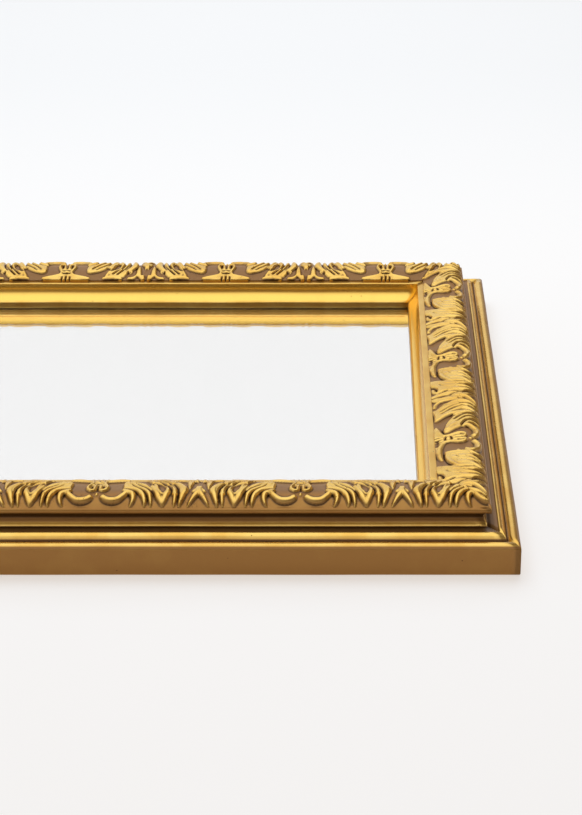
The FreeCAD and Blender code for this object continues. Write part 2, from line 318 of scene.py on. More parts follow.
moulding = {
    "face": [
        (0, 1.2, 0.35, 1),
        (0, 17.5, 0, 1),
        (0.5, 17.5, 0, 1.3),
        (1.1, 18.4, 0.1, 1.2),
        (6.6, 18.1, 1.25, 0.1),
        # the groove between the beads: dirt with painted shade
        (7.5, 18.1, 0, 2),
        (8.1, 18.9, 0, 1.7),
        (8.9, 20, 0.05, 0.3),
        (11.9, 22.1, 0.5, 0),
        # the flat under the lip, darker toward the neck: painted shade of the lip's overhang over the
        # toning
        (11.9, 21.6, 0, 1.2),
        (14, 21.6, 0, 1.4),
        (16, 21.6, 0, 1.6),
        (18.4, 21.6, 0, 1.85),
        # the neck, browner toward the lip above it: painted shade under the overhang
        (19.6, 23.7, -0.15, 0.25),
        (20.8, 26.1, -0.15, 1.1),
        # the lip's underside: painted shadow
        (17.7, 31, -1, 1.8),
        (17, 30.9, 0, 1.5),
        (16.2, 32, 0.25, 1.1),
        (17.5, 34.5, 0.6, 1),
        (18.6, 35, 0, 0.95),
        (45.6, 35, 0, 0.6),
        (50.2, 35, 0, 0.25),
        (50.35, 34.2, 0, 0),
        (56.2, 24, -1.9, -1),
        (56.2, 23.5, 0, 1.2),
        (57, 23.2, 0, -0.3),
        (57, 19, 0, 0.5),
    ],
    "back": [(49, 19), (49, 11.85), (30, 11.85), (30, 0), (1.2, 0)],
    "step": 0.35,        # spacing of points round the face
    "softening": 2,      # passes that round its corners, as gesso does
    "runStep": 7.0,      # spacing of sections along the member
    "waver": 0.05,       # how far the gesso wanders off true, upward
    "inwardShare": 0.5,  # and how much of that it wanders inward
    "firstWave": (0.083, 0.21),   # how fast it does, along and across
    "secondWave": (0.037, -0.3),  # and along and up
    "calmEnds": 12,      # the higher, the nearer to the mitres it starts
    "mitreGap": 0.06,
    "edgeWear": (1.4, 0.1),  # how much a sharp edge is rubbed, and how sharp it has to be
}


def sampleFace():
    # points (across, up) with the wash, along the shown part of the section
    start = moulding["back"][-1]
    points, washAndShade = [start], [moulding["face"][0][3]]
    for across, up, bulge, brownToneAndShade in moulding["face"]:
        last = points[-1]
        run = math.hypot(across - last[0], up - last[1])
        count = max(1, round(run / moulding["step"]))
        for index in range(1, count + 1):
            share = index / count
            bow = 4 * bulge * share * (1 - share) / run
            points.append((
                last[0] + (across - last[0]) * share - (up - last[1]) * bow,
                last[1] + (up - last[1]) * share + (across - last[0]) * bow,
            ))
            washAndShade.append(brownToneAndShade)
    line = np.column_stack([np.array(points), washAndShade])
    for _ in range(moulding["softening"]):
        line[1:-1] = (line[:-2] + 2 * line[1:-1] + line[2:]) / 4
    return line


def makeMember(name, side):
    face = sampleFace()
    back = np.array([(across, up, 0) for across, up in moulding["back"][:-1]])
    section = np.vstack([face, back])
    across, up, washAndShade = section.T
    shown, count, half = len(face), len(section), side["length"] / 2
    rings = round(side["length"] / moulding["runStep"]) + 1
    vertices = np.zeros((rings, count, 3))
    (alongOne, acrossOne), (alongTwo, upTwo) = moulding["firstWave"], moulding["secondWave"]
    for ring, share in enumerate(np.linspace(-1, 1, rings)):
        along = share * (half - moulding["mitreGap"] - across)
        # slow waves along the run, none at the mitres, so that neighbours meet
        calm = 1 - abs(share) ** moulding["calmEnds"]
        wave = np.sin(along * alongOne + across * acrossOne + side["turn"])
        wave += np.sin(along * alongTwo + up * upTwo)
        lift = moulding["waver"] * calm * wave
        lift[shown:] = 0
        lift[0] = 0
        vertices[ring] = np.column_stack([along, across - lift * moulding["inwardShare"], up + lift])
    vertices[:, :, 2] = np.maximum(vertices[:, :, 2], 0)
    faces = tubeFaces(rings, count)
    faces.append(tuple(range(count - 1, -1, -1)))
    faces.append(tuple((rings - 1) * count + i for i in range(count)))
    mesh = bpy.data.meshes.new(name)
    mesh.from_pydata(vertices.reshape(-1, 3).tolist(), [], faces)
    bendUp = np.gradient(np.unwrap(np.arctan2(np.gradient(up), np.gradient(across))))
    wear, sharp = moulding["edgeWear"]
    edge = np.clip(-bendUp * wear - sharp, 0, 1)
    edge[shown:] = 0
    # wash past 1 is dirt and painted shade; the neck's tone is painted shade as well
    painted = {"toneAndShade": np.clip(washAndShade, 0, 1), "dirtAndShade": np.clip(washAndShade - 1, 0, 1), "rubbed": edge,
               "burnished": np.clip(-washAndShade, 0, 1)}
    paintPoints(mesh, {label: np.tile(values, rings) for label, values in painted.items()})
    mesh.materials.append(materials["giltMoulding"])
    mesh.materials.append(materials["bareWood"])
    for index, polygon in enumerate(mesh.polygons):
        gilt = index < (rings - 1) * count and index % count < shown - 1
        polygon.material_index = 0 if gilt else 1
        polygon.use_smooth = gilt
    placeOnSide(mesh, side)
    mesh.validate()
    newPiece(name + "_moulding", mesh, name)


for name, side in sides.items():
    makeMember(name, side)
print("moulding made")


# The acanthus ornament. One repeat runs from flower to flower. Every shape is drawn on one half of
# it: along is measured from the flower to the middle between two flowers, and girth from the
# ornament's outer foot over its top to its inner edge, all in mm.

acanthus = {
    "repeat": 116.5,
    # the bare form under the leaves: (girth, across, up) in the moulding's section
    "form": [
        (0, 17.4, 34.3), (4, 20, 36.5), (7.4, 22.7, 38.1), (9.2, 24.4, 38.8), (11.7, 26.4, 39.2),
        (15, 28.8, 39.4), (18, 31.2, 39.3), (22.5, 35.3, 38.9), (25, 37.8, 38.4), (27.5, 40.1, 37.8),
        (30, 42.4, 37), (33, 46, 35.9)],
    "formSoftening": 6,      # passes that even out its outward directions
    "foot": 34.2,            # underside of the ornament
    "footInset": 0.3,        # how far in that starts
    "alongStep": 0.36,
    "girthStep": 0.45,
    "outlineStep": 0.6,
    "mitreGap": 0.05,
    "weldDistance": 0.01,
    "relief": 1.1,           # stretches every height
    "cutting": 1.25,         # and every cut
    "strokePower": 0.6,      # how full a stroke's round back is
    "cutPower": 0.8,         # and a cut's hollow
    "thinnest": 0.15,        # no stroke is narrower than this at its half width
    "lowest": -0.15,         # and no cut goes deeper into the form
    # The leaves' flat beds: the outline as (along, girth) points, the height, and the width of
    # the rounded edge. Ribs, rolls and fingers have a round back: (along, girth, half width,
    # height). Cuts are narrow, with sloped sides: (along, girth, half width, depth).
    "bothSides": {
        "beds": {
            "volute": ([
                (15, 11), (17.6, 9.4), (20.4, 8.6), (22.6, 9.8), (21, 12.2), (18.6, 13.6), (16, 14.6),
                (14.6, 13.6)], 1.7, 1.2),
            "middle": ([
                (52.8, 15.6), (54.2, 12.2), (56, 11.4), (60.5, 11.4), (60.5, 34), (56, 34), (52.6, 30.6),
                (50.8, 28.8), (51.2, 25.2), (51.6, 20.4)], 1.2, 0.9),
            "column": ([
                (-2, 16.4), (0.6, 16.4), (2, 17), (5.6, 18), (5.4, 21.4), (3.8, 24), (3.9, 26.6),
                (5.8, 28.8), (9.6, 30.4), (15, 31.6), (15, 34), (-2, 34)], 0.9, 0.8),
        },
        "strokes": {
            "voluteRoll": [
                (3.9, 7, 2.1, 2.3), (5.8, 5.5, 2.4, 2.6), (8.8, 4.8, 2.6, 2.8), (11.8, 5.4, 2.4, 2.6),
                (14.2, 7.4, 2, 2.3), (16.2, 9.8, 1.8, 2.1), (16.4, 12.2, 1.6, 1.9), (15.2, 14, 1.2, 1.6)],
            "bud": [(0, 9.2, 0.9, 1.3), (0, 10.6, 0.6, 0.9)],
            "fingerOne": [
                (19.2, 0.8, 0.45, 0.8), (20.4, 3.2, 1.1, 1.7), (21, 6.6, 1.5, 2.1), (20.2, 9.8, 1.7, 2.2),
                (17.8, 11.6, 1.6, 2)],
            "fingerTwo": [
                (27.4, 0.6, 0.4, 0.7), (27.6, 3.6, 1.1, 1.6), (26.8, 8, 1.6, 2), (24.6, 12.4, 1.8, 2),
                (21.2, 16.2, 2, 1.8), (17.6, 19.6, 2.2, 1.6)],
            "fingerThree": [
                (31.2, 0.6, 0.35, 0.7), (31.1, 3.8, 0.9, 1.5), (30.3, 8.4, 1.2, 1.9),
                (28.4, 12.6, 1.4, 1.9), (25.2, 16.4, 1.6, 1.7), (21.2, 20.2, 2, 1.6)],
            "leafLeft": [
                (37.7, 0.6, 0.5, 0.8), (37, 3.4, 1.4, 1.7), (35.6, 7.4, 2.1, 2.1), (34.2, 11, 1.8, 2),
                (32.9, 14.8, 1.5, 1.8), (31.2, 19, 1.5, 1.7)],
            "leafRight": [
                (37.9, 0.6, 0.5, 0.8), (38.3, 3.8, 1.4, 1.7), (39.2, 7.8, 1.9, 2), (40.4, 11.4, 1.5, 2),
                (40.8, 15.2, 1.2, 1.8), (39.4, 19.4, 1.3, 1.7), (36.8, 23.4, 1.5, 1.6)],
            "fingerFour": [
                (44.3, 0.6, 0.35, 0.7), (44.6, 4.2, 0.9, 1.5), (44.8, 9, 1.2, 1.8), (44.4, 13.4, 1.3, 1.8),
                (42.8, 18, 1.4, 1.7), (40.2, 22.4, 1.5, 1.7), (38, 26.6, 1.5, 1.5)],
            "broadLeaf": [
                (47.5, 0.6, 0.45, 0.8), (47.9, 3.6, 1.2, 1.7), (48.9, 7.8, 1.8, 2.1), (49.8, 12, 2.3, 2.1),
                (49.6, 16.4, 2.5, 2), (47.6, 20.6, 2.2, 1.8), (44.4, 25, 2, 1.6), (41.4, 29.2, 1.9, 1.5)],
            "vArm": [
                (52.3, 0.7, 0.4, 0.7), (53.6, 3.6, 1.1, 1.6), (55.3, 7, 1.6, 2), (57.2, 10.4, 2, 2.1),
                (58.2, 14, 2.3, 1.9), (57.4, 18, 1.8, 1.6)],
            "stemLine": [
                (55.2, 14.6, 1, 1.5), (54.4, 19, 1.3, 1.6), (54.4, 24, 1.5, 1.6), (55.4, 28.6, 1.6, 1.5),
                (57.4, 32, 1.5, 1.5)],
            "hook": [(52, 24, 0.9, 1.3), (51.9, 28.2, 1, 1.4), (49.6, 31.2, 1.1, 1.4), (45.6, 32, 1, 1.3)],
            "tongue": [(47.9, 24.6, 0.6, 1.1), (47, 27.6, 0.8, 1.3)],
            "petal": [
                (1.4, 15.2, 0.8, 1.4), (2.1, 13.6, 1.1, 1.8), (3.7, 13.2, 1.2, 1.9), (5.2, 15.2, 1.2, 1.8),
                (5.6, 18.4, 1.2, 1.7), (4.6, 21.8, 1.2, 1.5), (3.6, 25, 1.2, 1.4), (4.6, 28.2, 1.4, 1.5),
                (8.4, 30.2, 1.6, 1.7), (12.6, 31.2, 1.5, 1.7), (16.6, 31.9, 1.1, 1.4)],
            "innerPetal": [(1.5, 14.6, 0.9, 1.4), (1.8, 18, 1.1, 1.5), (1.2, 21.6, 0.9, 1.3)],
            "knot": [(0, 24.9, 2, 1.5), (0, 25.4, 2, 1.5)],
            "tassel": [(1.4, 28.8, 1, 1.3), (1.5, 33, 1, 1.2)],
            "sideTassel": [(4, 30.8, 1, 1.3), (4.4, 33.5, 1, 1.2)],
        },
        "cuts": {
            "besideRoll": [(17.4, 1, 0.7, 0.9), (18, 4, 0.75, 1.4), (18.4, 7.4, 0.6, 1.4)],
            "longCut": [
                (40.6, 2.6, 0.6, 1), (41.6, 6.6, 0.8, 1.5), (42.6, 10.6, 0.8, 1.6), (42.6, 14, 0.7, 1.4)],
            "thirdCut": [
                (46.2, 2.4, 0.4, 0.9), (46.7, 7.6, 0.7, 1.5), (46.8, 12, 0.7, 1.5), (46.4, 15, 0.6, 1.1)],
            "armCut": [(49.8, 2.4, 0.5, 1), (51.2, 7.6, 0.8, 1.5), (52.9, 12, 0.8, 1.4), (54, 16, 0.6, 1)],
            "axisCut": [(58.25, 20.4, 0.7, 1.1), (58.25, 25.4, 1.5, 1.7), (58.25, 33, 1.3, 1.5)],
            "columnLine": [(0, 13.4, 0.6, 1.2), (0, 21.2, 0.5, 0.9)],
            "petalLine": [(3.3, 16, 0.45, 0.7), (3.6, 18.6, 0.5, 0.8), (3.1, 21.2, 0.4, 0.7)],
            "petalEye": [(2.9, 18, 0.6, 1.2), (2.9, 19.2, 0.7, 1.3)],
            "eye": [(0, 22.9, 0.7, 1.4), (2.2, 23.6, 0.6, 1.3)],
            "innerEye": [(0, 27.2, 0.8, 1.4), (2.4, 26.6, 0.7, 1.3)],
            "drip": [(0, 29.8, 0.6, 1), (0, 33.5, 0.7, 1.2)],
            "sideDrip": [(2.8, 30.4, 0.5, 1), (3, 33.5, 0.6, 1.2)],
        },
    },
    # on the slit side of a flower long curved slits run through the leaves
    "slitSide": {
        "strokes": {
            "sweep": [
                (34.2, 16, 1.3, 1.7), (33.2, 20.4, 1.5, 1.8), (31.4, 25.4, 1.6, 1.7),
                (29.4, 29.8, 1.3, 1.5)],
            "foot": [
                (27, 31.8, 0.8, 1.1), (30.6, 30.8, 1.4, 1.5), (35.4, 31, 1.6, 1.6), (40, 32, 1.3, 1.4)],
        },
        "cuts": {
            "underVolute": [
                (15.4, 15.8, 0.6, 1.4), (18.4, 14.6, 0.9, 1.8), (21.4, 12.4, 1, 1.9), (23.6, 8.8, 1, 1.9),
                (24.2, 5, 0.9, 1.4)],
            "firstCut": [
                (33.6, 5, 0.8, 1.2), (32.3, 9.4, 0.9, 1.7), (30.6, 13.2, 1, 1.8), (27.6, 17, 0.9, 1.7),
                (23.6, 20.4, 0.5, 1.2)],
            "besideSecond": [
                (29.4, 2, 0.5, 1), (28.9, 7, 0.6, 1.5), (27, 11.6, 0.75, 1.7), (23.9, 15.6, 0.7, 1.6),
                (20.4, 19, 0.4, 1)],
            "hole": [
                (37.8, 11, 0.7, 1.1), (37.4, 14.4, 1.2, 1.5), (36.6, 18, 1, 1.3), (35.4, 21.2, 0.5, 0.8)],
            "longEnd": [
                (42.4, 13.4, 0.6, 1.2), (40.6, 18.4, 0.8, 1.5), (37.4, 23.6, 1, 1.8),
                (34.2, 27.8, 0.9, 1.8)],
            "thirdEnd": [
                (45.9, 14.4, 0.5, 0.9), (43.6, 19.4, 0.7, 1.3), (40.4, 24.4, 0.9, 1.7),
                (37.4, 28.4, 0.8, 1.6)],
            "endHole": [
                (31.4, 21, 0.6, 1.2), (29.2, 24.2, 1.4, 1.9), (26.8, 28, 1.6, 1.9), (25.2, 31.4, 1.1, 1.6)],
            "pocket": [
                (50.8, 19.8, 0.5, 1.1), (49.8, 23.4, 1, 1.7), (48.6, 27, 1.5, 1.9), (46.6, 29.2, 1.2, 1.7)],
            "pocketTwo": [(45, 24.4, 0.6, 1.3), (45, 27.2, 0.9, 1.7)],
        },
    },
    # on the stiles the first leaf of that side runs out to a point beside the flower
    "stileLeaves": {
        "beds": {
            "lobe": ([
                (15.6, 12.5), (14, 16), (11.5, 20), (8.8, 23.4), (7.6, 25.6), (8.4, 27.3), (11.4, 27.7),
                (14.5, 27), (19, 25.2), (24, 23.2), (27.4, 21.6), (29.8, 18.6), (31.4, 14), (32.6, 9),
                (28, 8.6), (24, 8.6), (20, 9.4)], 1.5, 1.2),
            "fan": ([
                (33.5, 9), (31.8, 15), (30.6, 20), (28.4, 24.5), (26.6, 28.5), (26.4, 31.6), (30, 32.4),
                (34.5, 31.6), (38, 31.8), (41.5, 31.2), (43.5, 28.5), (44.4, 25), (46.8, 22.5),
                (48.8, 20.8), (51, 17.5), (52.2, 13.5), (51.4, 9.5), (47, 8.5), (42, 9),
                (38, 9)], 1.4, 1.1),
        },
        "strokes": {
            "pointRib": [(20, 18.6, 1.6, 1.8), (15.8, 22, 2.4, 2), (11.6, 25, 2.4, 2)],
            "backRib": [(27, 18.8, 1.2, 1.7), (22.6, 22.2, 1.6, 1.8), (17, 25, 1.4, 1.7)],
        },
        "cuts": {
            "vein": [(16, 19.6, 0.35, 0.4), (13.4, 22.8, 0.4, 0.45)],
        },
    },
    # on the rails both sides are slit and the leaves are shorter, with a wide hole in the paired
    # leaf and another before the axis
    "railLeaves": {
        "beds": {
            "lobe": ([
                (15.6, 12.5), (15, 16), (14.6, 20), (14.4, 23.4), (15.4, 26), (18, 26.8), (21.6, 25.8),
                (25, 24.2), (28, 22), (29.8, 18.6), (31.4, 14), (32.6, 9), (28, 8.6), (24, 8.6),
                (20, 9.4)], 1.5, 1.2),
            "fan": ([
                (33.5, 9), (33.2, 15), (32.8, 20), (32.2, 24.5), (31.4, 28.5), (31.4, 31.6), (34, 32.4),
                (37, 31.8), (40, 31.2), (42.5, 28.5), (44.4, 25), (46.8, 22.5), (48.8, 20.8), (51, 17.5),
                (52.2, 13.5), (51.4, 9.5), (47, 8.5), (42, 9), (38, 9)], 1.4, 1.1),
        },
        "strokes": {
            "pointRib": [(21, 18.2, 1.6, 1.8), (18, 21.2, 1.8, 2), (16.4, 24, 1.6, 1.9)],
            "backRib": [(27, 18.6, 1.2, 1.7), (23.6, 21.4, 1.4, 1.8), (20.4, 24.4, 1.3, 1.8)],
        },
        "cuts": {
            "wideHole": [
                (37.8, 12.8, 1.2, 1.9), (37.4, 15.6, 2.1, 2.4), (36.8, 18.8, 2.2, 2.4),
                (35.2, 21.6, 1.6, 2.1), (32, 23.4, 1.2, 1.9)],
            "longReach": [(42.6, 13, 0.8, 1.6), (42, 17.4, 0.8, 1.7), (40.4, 21.4, 0.7, 1.6)],
            "thirdReach": [
                (46.6, 11, 0.9, 1.7), (46.4, 15.2, 0.9, 1.7), (45.2, 19.4, 0.8, 1.6), (43.4, 23, 0.7, 1.5)],
            "secondReach": [(24.4, 15.2, 0.7, 1.6), (21.4, 18.6, 0.7, 1.5), (18.8, 22.4, 0.5, 1.2)],
            "firstReach": [(27.6, 17, 0.9, 1.7), (24.6, 20, 0.8, 1.6), (21.8, 23.4, 0.5, 1.2)],
            "armReach": [
                (53.2, 13, 1, 1.8), (54.8, 17.4, 1.6, 2.3), (55.6, 22.4, 1.8, 2.3), (55.8, 28, 1.4, 2.1)],
        },
    },
    # on its other side the first leaf is broad and plain, with a square end and a turned rim
    "plainSide": {
        "beds": {
            "lobe": ([
                (17.6, 10), (18, 14), (18, 19), (17.4, 23.6), (17.8, 26.2), (20, 27.8), (24, 28.1),
                (28, 27.3), (32, 25.4), (35.4, 23.2), (37.4, 21), (38.4, 17), (38.5, 9.6), (30, 8.8),
                (22, 8.8)], 1.7, 0.9),
            "fan": ([
                (36, 9), (36.4, 15), (37, 19.6), (36.8, 22.4), (35.4, 26), (33.8, 29.6), (33.2, 33.4),
                (39.6, 33.4), (42.6, 31), (46.6, 29.4), (50.6, 29.6), (51.4, 24), (51.6, 18), (52.2, 13.5),
                (51.4, 9.5), (44, 8.6)], 1.5, 1.1),
        },
        "strokes": {
            "rim": [
                (25.4, 27.2, 0.7, 1.8), (29.6, 25.8, 1, 2.1), (33.4, 23.6, 1, 2.2), (36.8, 21.2, 0.8, 2)],
            "longArm": [
                (12.6, 31, 1.5, 1.7), (17.6, 31.2, 1.5, 1.6), (22.4, 30.8, 1.2, 1.5),
                (25.6, 30.2, 0.8, 1.2)],
            "foot": [(34.4, 32.6, 1, 1.5), (37.6, 31.8, 1.3, 1.6), (40.8, 31.8, 1, 1.4)],
            "edge": [(19.4, 13, 1.3, 1.9), (19.6, 18, 1.4, 2), (19.4, 23, 1.4, 2), (19.2, 27, 1.3, 1.9)],
            "swell": [(25.6, 12, 3.2, 1.9), (25.8, 17, 3.4, 2), (26.4, 22, 3.2, 2), (27, 24.6, 2, 1.8)],
            "swellTwo": [(32.6, 12, 2.8, 1.9), (32.8, 17, 2.8, 2), (33, 20.6, 2, 1.9)],
        },
        "cuts": {
            "underVolute": [(21.4, 11, 0.4, 0.8), (22.5, 8.4, 0.6, 1.4), (22.9, 4.6, 0.5, 1.1)],
            "firstCut": [
                (31.2, 2.6, 0.5, 0.9), (31.2, 7, 0.6, 1.4), (30.8, 11, 0.6, 1.2), (30, 15.4, 0.4, 0.7),
                (29.4, 20, 0.35, 0.4)],
            "besideSecond": [
                (27.8, 2, 0.5, 1), (27.3, 7, 0.6, 1.4), (26.6, 11, 0.5, 1), (26, 14.6, 0.35, 0.5)],
            "besideFirst": [
                (22.8, 8, 0.5, 1.1), (22.4, 12, 0.5, 0.8), (22.6, 18, 0.4, 0.45), (23.2, 24, 0.3, 0.3)],
            "hole": [
                (37.8, 9.6, 0.6, 1.1), (38.4, 13.6, 0.9, 1.2), (38.6, 17.6, 0.7, 0.9),
                (38.4, 20.6, 0.4, 0.6)],
            "rimLine": [
                (24, 25.8, 0.35, 0.4), (28.6, 24, 0.4, 0.6), (32.4, 22, 0.4, 0.6), (35.2, 20, 0.35, 0.4)],
            "nick": [(24.6, 20.2, 0.5, 0.7), (25.8, 20.8, 0.6, 0.9), (26.8, 19.8, 0.5, 0.7)],
            "drip": [(1.4, 31.8, 0.9, 1.6), (4, 32, 1.1, 1.8), (7.4, 32.4, 0.8, 1.6)],
            "foldOne": [(42.2, 14, 0.4, 0.8), (41.8, 19, 0.4, 0.6), (41, 24, 0.3, 0.4)],
            "foldTwo": [(45.8, 15, 0.4, 0.7), (45.8, 20, 0.4, 0.6), (44.8, 25, 0.35, 0.5)],
            "armEnd": [(54.2, 15.4, 0.6, 1), (55.4, 18.6, 0.6, 1.1), (57.6, 22.4, 0.7, 1.3)],
            "pocket": [(50.6, 23, 0.5, 1), (52.2, 25.8, 1, 1.6), (52.4, 29, 0.8, 1.5)],
            "lowCuts": [(43.4, 25.4, 0.4, 1), (41.6, 27.2, 0.5, 1.1), (39.4, 27.6, 0.4, 0.9)],
        },
    },
}


def smoothLine(points, spacing=0.3):
    # a smooth line through points of any width, with every value blended along it
    p = np.array(points, float)
    p = np.vstack([2 * p[0] - p[1], p, 2 * p[-1] - p[-2]])
    line = []
    for i in range(1, len(p) - 2):
        count = max(2, int(np.hypot(*(p[i + 1] - p[i])[:2]) / spacing))
        t = np.linspace(0, 1, count, endpoint=False)[:, None]
        rise = 2 * p[i - 1] - 5 * p[i] + 4 * p[i + 1] - p[i + 2]
        turn = 3 * p[i] - 3 * p[i + 1] + p[i + 2] - p[i - 1]
        line.append(0.5 * (2 * p[i] + (p[i + 1] - p[i - 1]) * t + rise * t ** 2 + turn * t ** 3))
    return np.vstack(line + [p[-2:-1]])


def strokeHeights(points, along, girth, power):
    # how high or deep one stroke is at each place of the half repeat
    heights = np.zeros(along.shape)
    for s, v, half, height in smoothLine(points):
        half = max(half, acanthus["thinnest"])
        near = (abs(along - s) < half) & (abs(girth - v) < half)
        reach = ((along[near] - s) ** 2 + (girth[near] - v) ** 2) / half ** 2
        heights[near] = np.maximum(heights[near], height * np.clip(1 - reach, 0, 1) ** power)
    return heights


def bedHeights(outline, height, edge, along, girth):
    # a flat top inside the outline, rounded down to nothing over the edge's width
    line = smoothLine(outline + outline[:1], acanthus["outlineStep"])
    ends = np.roll(line, -1, 0)
    inside = np.zeros(along.shape, bool)
    nearest = np.full(along.shape, np.inf)
    for (s0, v0), (s1, v1) in zip(line, ends):
        run = (s1 - s0) ** 2 + (v1 - v0) ** 2
        if run == 0:
            continue
        share = np.clip(((along - s0) * (s1 - s0) + (girth - v0) * (v1 - v0)) / run, 0, 1)
        gap = (along - s0 - share * (s1 - s0)) ** 2 + (girth - v0 - share * (v1 - v0)) ** 2
        nearest = np.minimum(nearest, gap)
        if v0 != v1:
            crossing = s0 + (girth - v0) * (s1 - s0) / (v1 - v0)
            inside ^= ((girth >= v0) != (girth >= v1)) & (along < crossing)
    rise = np.clip(np.sqrt(nearest) / edge, 0, 1)
    return np.where(inside, height * np.sqrt(1 - (1 - rise) ** 2), 0)


def sideHeights(*groups):
    # heights of one half repeat, from a flower to the middle between two
    halfRepeat, fullGirth = acanthus["repeat"] / 2, acanthus["form"][-1][0]
    along, girth = np.meshgrid(
        np.linspace(0, halfRepeat, round(halfRepeat / acanthus["alongStep"]) + 1),
        np.linspace(0, fullGirth, round(fullGirth / acanthus["girthStep"]) + 1), indexing="ij")
    field = np.zeros(along.shape)
    deepest = np.zeros(along.shape)
    for parts in [acanthus[group] for group in ("bothSides",) + groups]:
        for outline, height, edge in parts.get("beds", {}).values():
            field = np.maximum(field, bedHeights(outline, height, edge, along, girth))
        for points in parts["strokes"].values():
            field = np.maximum(field, strokeHeights(points, along, girth, acanthus["strokePower"]))
        for points in parts["cuts"].values():
            deepest = np.maximum(deepest, strokeHeights(points, along, girth, acanthus["cutPower"]))
    return np.clip(field * acanthus["relief"] - deepest * acanthus["cutting"], acanthus["lowest"], None)


def reliefField(kind):
    # one repeat: alike on both sides of the flower on a rail, plain on one side on a stile
    if kind == "rail":
        ahead = behind = sideHeights("slitSide", "railLeaves")
    else:
        ahead, behind = sideHeights("slitSide", "stileLeaves"), sideHeights("plainSide")
    return np.vstack([behind[:0:-1], ahead])


def blurred(field, passes=1):
    # neighbours averaged, wrapping along the run
    for _ in range(passes):
        field = (np.roll(field, 1, 0) + np.roll(field, -1, 0) + 2 * field) / 4
        padded = np.pad(field, ((0, 0), (1, 1)), mode="edge")
        field = (padded[:, :-2] + padded[:, 2:] + 2 * field) / 4
    return field


def bareForm(count):
    # points (across, up) and outward directions of the form under the leaves
    line = smoothLine(acanthus["form"])
    girth = np.linspace(0, acanthus["form"][-1][0], count)
    points = np.stack([np.interp(girth, line[:, 0], line[:, axis]) for axis in (1, 2)], -1)
    run = np.gradient(points, axis=0)
    for _ in range(acanthus["formSoftening"]):
        run[1:-1] = (run[:-2] + 2 * run[1:-1] + run[2:]) / 4
    run /= np.linalg.norm(run, axis=1)[:, None]
    return points, np.stack([-run[:, 1], run[:, 0]], -1)


# How the ornament's wash, dirt, painted shade and rubbing follow its relief. Two pairs give girths,
# and the values there.

ornamentWashAndShade = {
    "least": 0.08,       # wash on everything
    "cavityPasses": 12,  # how widely a hollow or a crest is felt
    "hollowDirtAndShade": (1.7, 0.15),  # dirt and painted shade in hollows deeper than the second
    "crests": (1.2, 0.15),   # rubbing on crests higher than the second
    "ground": (0.2, 0.5),    # heights up to the first are ground, fading over the second
    "groundTone": ((6.0, 13.0), (0.85, 1.0)),
    # the ground darker towards the inner edge
    "groundDarkening": ((7.0, 15.0), (0.0, 0.35)),
    "shadedFlank": (0.9, 1.2),     # painted shade on slopes past the first, in full over the second
    "shadedFlankTone": 0.5,
    "shadedFlankDark": 0.05,
    "shadedUnderside": 1.5,            # painted shade on slopes that face outward and down
    "shadedUndersideFade": ((5.0, 9.0), (1.0, 0.2)),
    "shadedUndersideTone": 0.8,
    "shadedUndersideDark": 0.15,
    "hiddenTone": 0.6,       # on the underside
}


def makeTile(kind):
    # one repeat of the ornament as an open-ended tube: relief above, inner edge and underside
    field = blurred(reliefField(kind))
    alongCount, girthCount = field.shape
    points, direction = bareForm(girthCount)
    s = np.linspace(-acanthus["repeat"] / 2, acanthus["repeat"] / 2, alongCount)
    grid = np.zeros((alongCount, girthCount + 2, 3))
    grid[:, :, 0] = s[:, None]
    grid[:, :girthCount, 1:] = points[None] + direction[None] * field[:, :, None]
    grid[:, girthCount, 1:] = (points[-1][0], acanthus["foot"])
    grid[:, girthCount + 1, 1:] = (points[0][0] + acanthus["footInset"], acanthus["foot"])
    mesh = bpy.data.meshes.new("acanthusTile")
    mesh.from_pydata(grid.reshape(-1, 3).tolist(), [], tubeFaces(alongCount, girthCount + 2))

    washAndShade, alongStep, girthStep = ornamentWashAndShade, acanthus["alongStep"], acanthus["girthStep"]
    girth = np.linspace(0, acanthus["form"][-1][0], girthCount)[None, :]
    # hollows get dirt and painted shade, crests get rubbed
    cavity = blurred(field, washAndShade["cavityPasses"]) - field
    slope = np.hypot(np.gradient(field, alongStep, axis=0), np.gradient(field, girthStep, axis=1))
    shadedFlank = np.clip((blurred(slope) - washAndShade["shadedFlank"][0]) / washAndShade["shadedFlank"][1], 0, 1)
    shadedUnderside = np.clip(np.gradient(blurred(field), girthStep, axis=1) * washAndShade["shadedUnderside"], 0, 1)
    shadedUnderside *= np.interp(girth, *washAndShade["shadedUndersideFade"])
    ground = 1 - np.clip((field - washAndShade["ground"][0]) / washAndShade["ground"][1], 0, 1)
    # painted shade on steep sides and on sides that face outward and down
    slopeShade = np.maximum(shadedFlank * washAndShade["shadedFlankTone"], shadedUnderside * washAndShade["shadedUndersideTone"])
    hollowDarkening, deepEnough = washAndShade["hollowDirtAndShade"]
    rubbing, highEnough = washAndShade["crests"]
    painted = {
        "toneAndShade": washAndShade["least"] + np.maximum(ground * np.interp(girth, *washAndShade["groundTone"]), slopeShade),
        "dirtAndShade": np.clip((cavity - deepEnough) * hollowDarkening, 0, 1)
                + ground * np.interp(girth, *washAndShade["groundDarkening"])
                + shadedFlank * washAndShade["shadedFlankDark"] + shadedUnderside * washAndShade["shadedUndersideDark"],
        "rubbed": np.clip(-cavity * rubbing - highEnough, 0, 1),
    }
    for label, values in painted.items():
        hidden = np.full((alongCount, 2), washAndShade["hiddenTone"] if label == "toneAndShade" else 0)
        painted[label] = np.concatenate([np.clip(values, 0, 1), hidden], axis=1)
    paintPoints(mesh, painted)
    for polygon in mesh.polygons:
        polygon.use_smooth = True
    return mesh


